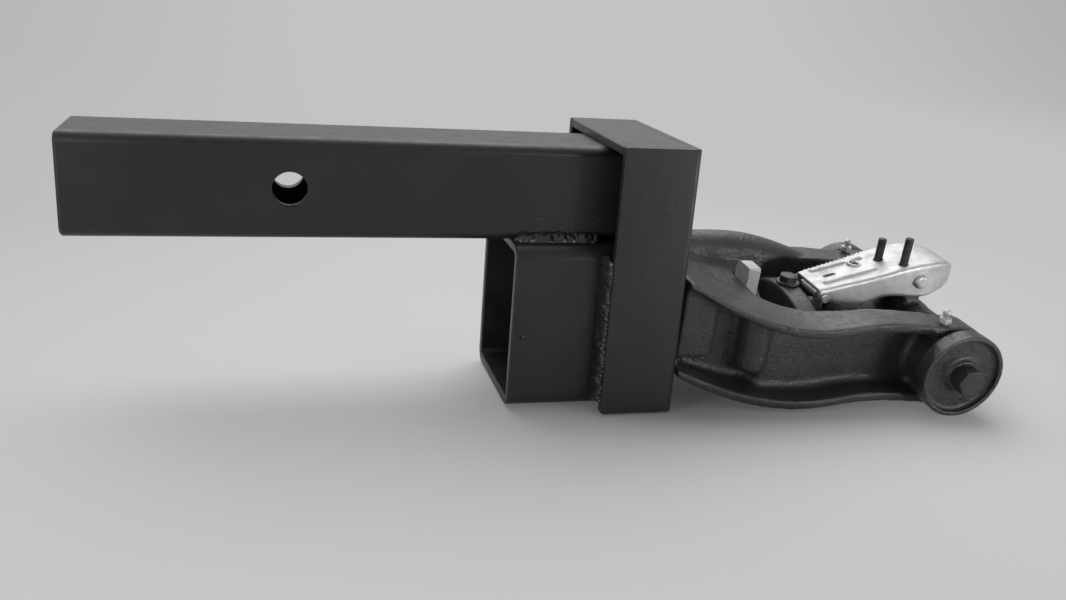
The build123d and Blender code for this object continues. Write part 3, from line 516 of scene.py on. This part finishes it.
def skin(sheet, loops):
    """Join closed loops of points into a tube and close both ends."""
    rows = [[sheet.verts.new(point) for point in loop] for loop in loops]
    count = len(rows[0])
    for low, high in zip(rows, rows[1:]):
        for i in range(count):
            j = (i + 1) % count
            sheet.faces.new((low[i], low[j], high[j], high[i]))
    sheet.faces.new(rows[0])
    sheet.faces.new(reversed(rows[-1]))


# A weld bead's mesh, the lengths in metres over which its size and its ripples change, and a
# power that squares its section
WELD_COLUMNS = 12
WELD_STEP = 0.00035
WELD_END = 0.0035
WELD_BOW = 0.0012
WELD_DRIFT = 0.0004
WELD_WANDER = 0.007
WELD_LUMP = 0.0032
WELD_ROUGH = 0.0017
WELD_FULLNESS = 1.2


def weld_bead(sheet, start, end, leg_a, leg_b, seed):
    """A rough bead in the corner of two faces; the legs lead from it to the bead's toes."""
    pitch = bpy.context.scene.coupler_finish.weld_pitch
    run = end - start
    length = run.length
    steps = round(length / WELD_STEP)
    loops = []
    for k in range(steps + 1):
        along = length * k / steps
        centre = start + run * (k / steps)
        from_end = min(along, length - along)
        taper = min(1.0, 0.25 + 0.75 * sin(min(1.0, from_end / WELD_END) * pi / 2))
        wander = wave.noise(Vector((along / WELD_WANDER, seed, 0)))
        loop = []
        for i in range(WELD_COLUMNS + 1):
            t = i / WELD_COLUMNS
            bow = WELD_BOW * (1 - (2 * t - 1) ** 2)
            phase = (along + bow + WELD_DRIFT * wander) / pitch
            ripple = abs(sin(pi * phase))
            rough = wave.noise(Vector((along / WELD_ROUGH, 5 * t, seed)))
            lump = wave.noise(Vector((along / WELD_LUMP, 2 * t, seed + 7)))
            size = taper * (0.80 + 0.03 * ripple + 0.10 * wander + 0.08 * rough + 0.11 * lump)
            angle = t * pi / 2
            loop.append(centre + leg_a * cos(angle) ** WELD_FULLNESS * size
                        + leg_b * sin(angle) ** WELD_FULLNESS * size)
        loop.append(centre - (leg_a + leg_b) * 0.06)
        loops.append(loop)
    skin(sheet, loops)


def blob(sheet, centre, size, flat, axis):
    """A bead of spatter, flattened along one axis."""
    scale = Matrix.Diagonal((size, size, size, 1))
    scale[axis][axis] = size * flat
    bmesh.ops.create_icosphere(sheet, subdivisions=2, radius=1.0,
                               matrix=Matrix.Translation(centre) @ scale)


SPATTER_SIZES = (0.0002, 0.00055)
SPATTER_LIFT = 0.00005


def spatter(sheet, rng, count, low, high, axis):
    """Spatter scattered over a face between two corners; axis is across the face."""
    for _ in range(count):
        centre = Vector(rng.uniform(a, b) for a, b in zip(low, high))
        blob(sheet, centre, rng.uniform(*SPATTER_SIZES), flat=0.5, axis=axis)


def mirror_y(point, side):
    """A point on the far side for side 1, and on the near side for side -1."""
    return Vector((point[0], side * point[1], point[2]))


# Operators, one for each group of pieces

class DressBracket(bpy.types.Operator):
    """Powder coat and rounded edges for the shank, receiver tube, channel and cap."""
    bl_idname = "coupler.dress_bracket"
    bl_label = "Dress the bracket"

    def execute(self, context):
        edge = context.scene.coupler_finish.plate_edge
        for node in ("shank_tube", "receiver_tube", "bracket_channel", "bracket_cap"):
            soften_edges(dress(node), edge)
        return {"FINISHED"}


class BuildShankWelds(bpy.types.Operator):
    """Rippled beads between the shank and the lower tube, with spatter up the shank's sides."""
    bl_idname = "coupler.build_shank_welds"
    bl_label = "Build the shank welds"

    def execute(self, context):
        low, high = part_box("shank_welds")
        # The beads start just inside the lower tube's mouth
        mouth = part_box("receiver_tube")[0].x + 0.0012
        leg = high.z - low.z
        side_y = high.y - leg
        first_drop = (mouth + 0.0015, side_y + 0.0014, low.z + 0.0012)
        sheet = bmesh.new()
        rng = random.Random(11)
        for side in (-1, 1):
            start = mirror_y((mouth, side_y, low.z), side)
            end = mirror_y((high.x, side_y, low.z), side)
            weld_bead(sheet, start, end, leg_a=Vector((0, side * leg * 0.8, 0)),
                      leg_b=Vector((0, 0, leg * 0.85)), seed=5 + side)
            face = side * (side_y + SPATTER_LIFT)
            spatter(sheet, rng, 60, (mouth + 0.006, face, low.z + leg * 0.8),
                    (high.x - 0.002, face, low.z + leg * 1.9), axis=1)
            blob(sheet, mirror_y(first_drop, side), 0.0021, flat=0.9, axis=2)
        piece_from(sheet, "shank_weld_beads", "weld_bead", "bracket", "shank_welds")
        return {"FINISHED"}


class BuildTubeWelds(bpy.types.Operator):
    """Upright beads between the channel's open edges and the lower tube."""
    bl_idname = "coupler.build_tube_welds"
    bl_label = "Build the tube welds"

    def execute(self, context):
        low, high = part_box("tube_welds")
        tube_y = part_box("receiver_tube")[1].y
        leg = high.x - low.x
        reach = high.y - tube_y
        sheet = bmesh.new()
        rng = random.Random(23)
        for side in (-1, 1):
            start = mirror_y((high.x, tube_y, low.z), side)
            end = mirror_y((high.x, tube_y, high.z), side)
            weld_bead(sheet, start, end, leg_a=Vector((-leg * 0.7, 0, 0)),
                      leg_b=Vector((0, side * reach * 1.18, 0)), seed=15 + side)
            face = side * (tube_y + SPATTER_LIFT)
            spatter(sheet, rng, 30, (low.x - 0.005, face, low.z + 0.004),
                    (low.x + 0.0005, face, high.z - 0.006), axis=1)
        piece_from(sheet, "tube_weld_beads", "weld_bead", "bracket", "tube_welds")
        return {"FINISHED"}


class BuildRootWelds(bpy.types.Operator):
    """Short beads under the pads at the yoke's root, with a few drops around them."""
    bl_idname = "coupler.build_root_welds"
    bl_label = "Build the root welds"

    def execute(self, context):
        # All of these are in the yoke's own frame, and YOKE_FRAME rolls them with it
        start_x, end_x = (corner.x - ROLL_AXIS.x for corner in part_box("root_welds"))
        corner_y, foot_y, pad_z, bead_depth = 0.033, 0.0440, -0.018, 0.003
        drops, drop_size = 16, (0.0005, 0.0012)
        drop_y, drop_depth = (0.0345, 0.0435), (0.0006, 0.0024)
        turn = YOKE_FRAME.to_3x3()
        sheet = bmesh.new()
        rng = random.Random(31)
        for side in (-1, 1):
            start = YOKE_FRAME @ Vector((start_x, side * corner_y, pad_z))
            end = YOKE_FRAME @ Vector((end_x, side * corner_y, pad_z))
            weld_bead(sheet, start, end, leg_a=turn @ Vector((0, side * (foot_y - corner_y), 0)),
                      leg_b=turn @ Vector((0, 0, -bead_depth)), seed=25 + side)
            for _ in range(drops):
                place = Vector((rng.uniform(start_x, end_x), side * rng.uniform(*drop_y),
                                pad_z - rng.uniform(*drop_depth)))
                blob(sheet, YOKE_FRAME @ place, rng.uniform(*drop_size), flat=0.8, axis=1)
        piece_from(sheet, "root_weld_beads", "weld_bead", "yoke", "root_welds")
        return {"FINISHED"}


class DressSwivel(bpy.types.Operator):
    """Roll swivel: sleeve, bush, washers, slotted nut and split pin."""
    bl_idname = "coupler.dress_swivel"
    bl_label = "Dress the roll swivel"

    def execute(self, context):
        for node in ("roll_sleeve", "roll_bush", "thrust_washer", "spindle_washer", "spindle_nut",
                     "split_pin"):
            dress(node)
        for node in ("roll_sleeve", "spindle_washer", "spindle_nut"):
            soften_edges(frame["nodes"][node], 0.0005)
        return {"FINISHED"}


class BuildSpindle(bpy.types.Operator):
    """Roll spindle with a cut thread from its end through the nut."""
    bl_idname = "coupler.build_spindle"
    bl_label = "Build the roll spindle"

    def execute(self, context):
        low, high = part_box("roll_spindle")
        radius = (high.y - low.y) / 2
        thread_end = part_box("spindle_washer")[1].x
        pitch = context.scene.coupler_finish.thread_pitch
        step, columns, chamfer, deepest = pitch / 9, 60, 0.0022, pitch * 0.55
        axis = Vector((0, 0, ROLL_AXIS.z))
        stations = []
        x = low.x
        while x < thread_end:
            stations.append(x)
            x += step
        stations += [thread_end, high.x]
        loops = []
        for x in stations:
            loop = []
            for i in range(columns):
                angle = tau * i / columns
                phase = ((x - low.x) / pitch - angle / tau) % 1.0
                depth = deepest * (1 - abs(2 * phase - 1))
                fade = min(1.0, max(0.0, (thread_end - x) / pitch))
                size = min(radius - depth * fade, radius - chamfer + (x - low.x))
                loop.append(Vector((x, size * cos(angle), size * sin(angle))) + axis)
            loops.append(loop)
        sheet = bmesh.new()
        skin(sheet, loops)
        spindle = piece_from(sheet, "threaded_spindle", "bright_steel", "yoke", "roll_spindle")
        for face in spindle.data.polygons:
            face.use_smooth = len(face.vertices) == 4
        return {"FINISHED"}


class DressYoke(bpy.types.Operator):
    """Cast yoke with its stop bar, bolts, nipples and bushes."""
    bl_idname = "coupler.dress_yoke"
    bl_label = "Dress the yoke"

    def execute(self, context):
        finish = context.scene.coupler_finish
        soften_casting(dress("yoke"), finish.casting_voxel, finish.casting_fillet, passes=7)
        for node in ("stop_bar", "stop_bar_bolts", "grease_nipples", "boss_bush_near",
                     "boss_bush_far"):
            dress(node)
        soften_edges(frame["nodes"]["stop_bar"], 0.0008, segments=3)
        soften_edges(frame["nodes"]["stop_bar_bolts"], 0.0004)
        soften_edges(frame["nodes"]["grease_nipples"], 0.00015, segments=1)
        return {"FINISHED"}


class DressHead(bpy.types.Operator):
    """Coupler head with its pins, caps, clamp and collar bolt."""
    bl_idname = "coupler.dress_head"
    bl_label = "Dress the coupler head"

    def execute(self, context):
        finish = context.scene.coupler_finish
        voxel, fillet = finish.casting_voxel, finish.casting_fillet * 0.4
        soften_casting(dress("coupler_head"), voxel, fillet)
        cap_coat = casting_coat(finish, "black_cap_coat", swell_depth=0.0011, gloss=0.06)
        for node in ("end_cap_near", "end_cap_far"):
            soften_casting(dress(node, cap_coat), voxel * 0.6, fillet, passes=4)
        for node in ("collar_bolt", "clamp_pin", "clamp_spring", "pivot_pin_near", "pivot_pin_far",
                     "side_washer_near", "side_washer_far", "cap_bolt_near", "cap_bolt_far",
                     "ball_clamp"):
            dress(node)
        for node in ("cap_bolt_near", "cap_bolt_far"):
            soften_edges(frame["nodes"][node], 0.0009, segments=3)
        for node in ("collar_bolt", "ball_clamp"):
            soften_edges(frame["nodes"][node], 0.0004)
        return {"FINISHED"}


class BuildLeverTeeth(bpy.types.Operator):
    """Row of small pressed teeth along the far edge of the lever's top."""
    bl_idname = "coupler.build_lever_teeth"
    bl_label = "Build the lever teeth"

    def execute(self, context):
        low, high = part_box("latch_lever")
        lever = frame["nodes"]["latch_lever"]
        turn = YOKE_FRAME.to_3x3()
        up = turn @ Vector((0, 0, 1))
        across = turn @ Vector((0, 1, 0))
        tooth, inset = Matrix.Diagonal((0.00075, 0.0013, 0.0007, 1)), 0.0006
        count, first, span = 17, 0.05, 0.50
        # Rays fall from above, step by step inwards, until one meets the lever's flat top
        tries, try_step, ray_height, flat_enough = 60, 0.0003, 0.02, 0.8
        lowest_top = low.z + 0.3 * (high.z - low.z)
        sheet = bmesh.new()
        placed = 0
        for k in range(count):
            x = low.x + (high.x - low.x) * (first + span * k / (count - 1))
            for step in range(tries):
                y = high.y - try_step * step
                hit, place, normal, _ = lever.ray_cast(Vector((x, y, high.z + ray_height)), -up)
                if hit and normal.dot(up) > flat_enough and place.z > lowest_top:
                    matrix = Matrix.Translation(place - across * inset)
                    matrix @= turn.to_4x4() @ tooth
                    bmesh.ops.create_icosphere(sheet, subdivisions=2, radius=1.0, matrix=matrix)
                    placed += 1
                    break
        if placed < count // 2:
            raise RuntimeError("The lever's far edge was not found")
        piece_from(sheet, "lever_teeth", "zinc_plate", "lever")
        return {"FINISHED"}


class DressLatch(bpy.types.Operator):
    """Latch lever with its rivet, black pins, tip pin and roller."""
    bl_idname = "coupler.dress_latch"
    bl_label = "Dress the latch"

    def execute(self, context):
        finish = context.scene.coupler_finish
        soften_casting(dress("latch_lever"), finish.sheet_voxel, fillet=0.0007, passes=4)
        for node in ("lever_rivet", "lever_pin_rear", "lever_pin_front", "tip_pin", "tip_roller"):
            dress(node)
        return {"FINISHED"}


# Stage

def area_lamp(name, place, target, size, power, fan=pi):
    """A rectangular lamp turned to a target; fan is the angle that its light leaves in."""
    lamp = bpy.data.lights.new(name, "AREA")
    lamp.shape = "RECTANGLE"
    lamp.size, lamp.size_y = size
    lamp.energy = power
    lamp.spread = fan
    holder = bpy.data.objects.new(name, lamp)
    holder.location = place
    holder.rotation_euler = (Vector(target) - Vector(place)).to_track_quat("-Z", "Y").to_euler()
    bpy.context.collection.objects.link(holder)


def distance(tree, place, point):
    """Distance of the place on the surface to a fixed point."""
    node = tree.nodes.new("ShaderNodeVectorMath")
    node.operation = "DISTANCE"
    node.inputs[1].default_value = point
    tree.links.new(place, node.inputs[0])
    return node.outputs["Value"]


def sweep_surface(colour, tone):
    """A matt sweep; away from the coupler it glows where it is looked at, as painted light: the glow fades in over
    the floor where the coupler's broad shadow falls, and dims away from the middle.
    """
    surface, tree, shader = new_surface("studio_sweep")
    place = object_place(tree)
    cloud = spread(tree, noise(tree, place, size=0.6, detail=2), 0, 1)
    tree.links.new(tint(tree, cloud, lighter(colour, 0.985), lighter(colour, 1.015)),
                   shader.inputs["Base Color"])
    shader.inputs["Roughness"].default_value = 0.9
    shader.inputs["Specular IOR Level"].default_value = 0.1
    under_coupler, middle, full_tone_at = (0.22, -0.05, FLOOR_HEIGHT), (0.7, 0, 0), 0.62
    # Painted light: the glow fades in from under the coupler and lifts its broad shadow on the floor
    far = spread(tree, distance(tree, place, under_coupler), 0, 1, 0.0, full_tone_at)
    # Painted falloff: the glow dims from the middle towards the sides
    aside = distance(tree, stretched(tree, place, (1, 0, 0)), middle)
    glow = tree.nodes.new("ShaderNodeEmission")
    tree.links.new(spread(tree, aside, tone, tone * 0.76, from_low=0.6, from_high=1.9),
                   glow.inputs["Strength"])
    mixed = tree.nodes.new("ShaderNodeMixShader")
    tree.links.new(maths(tree, "MULTIPLY", far, looked_at(tree)), mixed.inputs["Fac"])
    tree.links.new(shader.outputs["BSDF"], mixed.inputs[1])
    tree.links.new(glow.outputs["Emission"], mixed.inputs[2])
    tree.links.new(mixed.outputs["Shader"], tree.nodes["Material Output"].inputs["Surface"])
    return surface


def studio_sweep(colour, tone):
    """A floor that curves up into a backdrop, as one smooth sheet."""
    half_width, front, bend, radius, height = 9.0, -3.0, 1.6, 0.9, 3.2
    steps = 24
    profile = [(front, 0.0), (bend, 0.0)]
    profile += [(bend + radius * sin(a), radius * (1 - cos(a)))
                for a in (pi / 2 * i / steps for i in range(1, steps + 1))]
    profile.append((bend + radius, height))
    mesh = bpy.data.meshes.new("studio_sweep")
    sheet = bmesh.new()
    rows = [[sheet.verts.new((x, y, FLOOR_HEIGHT + z)) for x in (-half_width, half_width)]
            for y, z in profile]
    for low, high in zip(rows, rows[1:]):
        sheet.faces.new((low[0], low[1], high[1], high[0])).smooth = True
    sheet.to_mesh(mesh)
    sheet.free()
    mesh.materials.append(sweep_surface(colour, tone))
    obj = bpy.data.objects.new("studio_sweep", mesh)
    bpy.context.collection.objects.link(obj)


def studio_air(power, tone, room_tone):
    """Light from all around, stronger from behind, with its own tones where it is looked at."""
    world = bpy.data.worlds.new("studio_air")
    world.use_nodes = True
    tree = world.node_tree
    background = tree.nodes["Background"]
    background.inputs["Color"].default_value = (1, 1, 1, 1)
    behind_and_above = (0.0, 0.8, 0.6)
    lean = tree.nodes.new("ShaderNodeVectorMath")
    lean.operation = "DOT_PRODUCT"
    lean.inputs[1].default_value = behind_and_above
    tree.links.new(tree.nodes.new("ShaderNodeTexCoord").outputs["Generated"], lean.inputs[0])
    light = spread(tree, lean.outputs["Value"], power * 0.2, power, from_low=-0.1, from_high=0.8)
    shown = spread(tree, lean.outputs["Value"], room_tone, tone, from_low=-0.4, from_high=0.7)
    mixed = tree.nodes.new("ShaderNodeMix")
    tree.links.new(looked_at(tree), mixed.inputs["Factor"])
    tree.links.new(light, mixed.inputs["A"])
    tree.links.new(shown, mixed.inputs["B"])
    tree.links.new(mixed.outputs["Result"], background.inputs["Strength"])
    return world


class BuildStage(bpy.types.Operator):
    """Pale sweep, soft lamps and the camera."""
    bl_idname = "coupler.build_stage"
    bl_label = "Build the stage"

    def execute(self, context):
        stage = context.scene.coupler_stage
        studio_sweep(tuple(stage.floor_colour), stage.backdrop_tone)
        # What each lamp is turned to
        middle, shank = (0.12, 0, -0.05), (-0.1, 0, 0)
        yoke, cap = (0.33, 0, -0.05), (0.38, -0.05, -0.03)
        area_lamp("overhead_lamp", (0.1, 0.8, 1.3), middle, (2.6, 1.8), stage.overhead_power)
        area_lamp("side_lamp", (-0.5, -0.4, 0.05), shank, (0.3, 0.3), stage.side_power)
        area_lamp("fill_lamp", (1.5, -1.1, 0.1), yoke, (1.2, 0.4), stage.fill_power)
        area_lamp("lever_lamp", (0.68, -0.70, 0.0), cap, (0.28, 0.2), stage.lever_power,
                  fan=radians(22))
        context.scene.world = studio_air(stage.air_power, stage.backdrop_tone, stage.room_tone)
        camera = bpy.data.cameras.new("camera")
        camera.lens = stage.lens
        camera.sensor_width = 36.0
        camera.sensor_fit = "HORIZONTAL"
        holder = bpy.data.objects.new("camera", camera)
        holder.location = stage.camera_place
        holder.rotation_euler = Euler(stage.camera_turn)
        context.collection.objects.link(holder)
        context.scene.camera = holder
        context.scene.view_settings.view_transform = "Standard"
        return {"FINISHED"}


OPERATORS = (DressBracket, BuildShankWelds, BuildTubeWelds, BuildRootWelds, DressSwivel,
             BuildSpindle, DressYoke, DressHead, DressLatch, BuildLeverTeeth, BuildStage)


class CouplerPanel(bpy.types.Panel):
    """Lists the coupler's operators in the sidebar."""
    bl_idname = "VIEW3D_PT_coupler"
    bl_label = "Trailer coupler"
    bl_space_type = "VIEW_3D"
    bl_region_type = "UI"
    bl_category = "Coupler"

    def draw(self, context):
        for operator in OPERATORS:
            self.layout.operator(operator.bl_idname)
        for settings in (context.scene.coupler_finish, context.scene.coupler_stage):
            box = self.layout.box()
            for name in settings.bl_rna.properties.keys():
                if name not in ("rna_type", "name"):
                    box.prop(settings, name)


CLASSES = (CouplerFinish, CouplerStage, *OPERATORS, CouplerPanel)


def register():
    """Add the settings, operators and panel."""
    for cls in CLASSES:
        bpy.utils.register_class(cls)
    bpy.types.Scene.coupler_finish = PointerProperty(type=CouplerFinish)
    bpy.types.Scene.coupler_stage = PointerProperty(type=CouplerStage)


def unregister():
    """Take them away again."""
    del bpy.types.Scene.coupler_stage
    del bpy.types.Scene.coupler_finish
    for cls in reversed(CLASSES):
        bpy.utils.unregister_class(cls)


def main():
    """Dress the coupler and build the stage."""
    register()
    bpy.ops.coupler.dress_bracket()
    bpy.ops.coupler.build_shank_welds()
    bpy.ops.coupler.build_tube_welds()
    bpy.ops.coupler.build_root_welds()
    bpy.ops.coupler.dress_swivel()
    bpy.ops.coupler.build_spindle()
    bpy.ops.coupler.dress_yoke()
    bpy.ops.coupler.dress_head()
    bpy.ops.coupler.dress_latch()
    bpy.ops.coupler.build_lever_teeth()
    bpy.ops.coupler.build_stage()


if __name__ == "__main__":
    main()
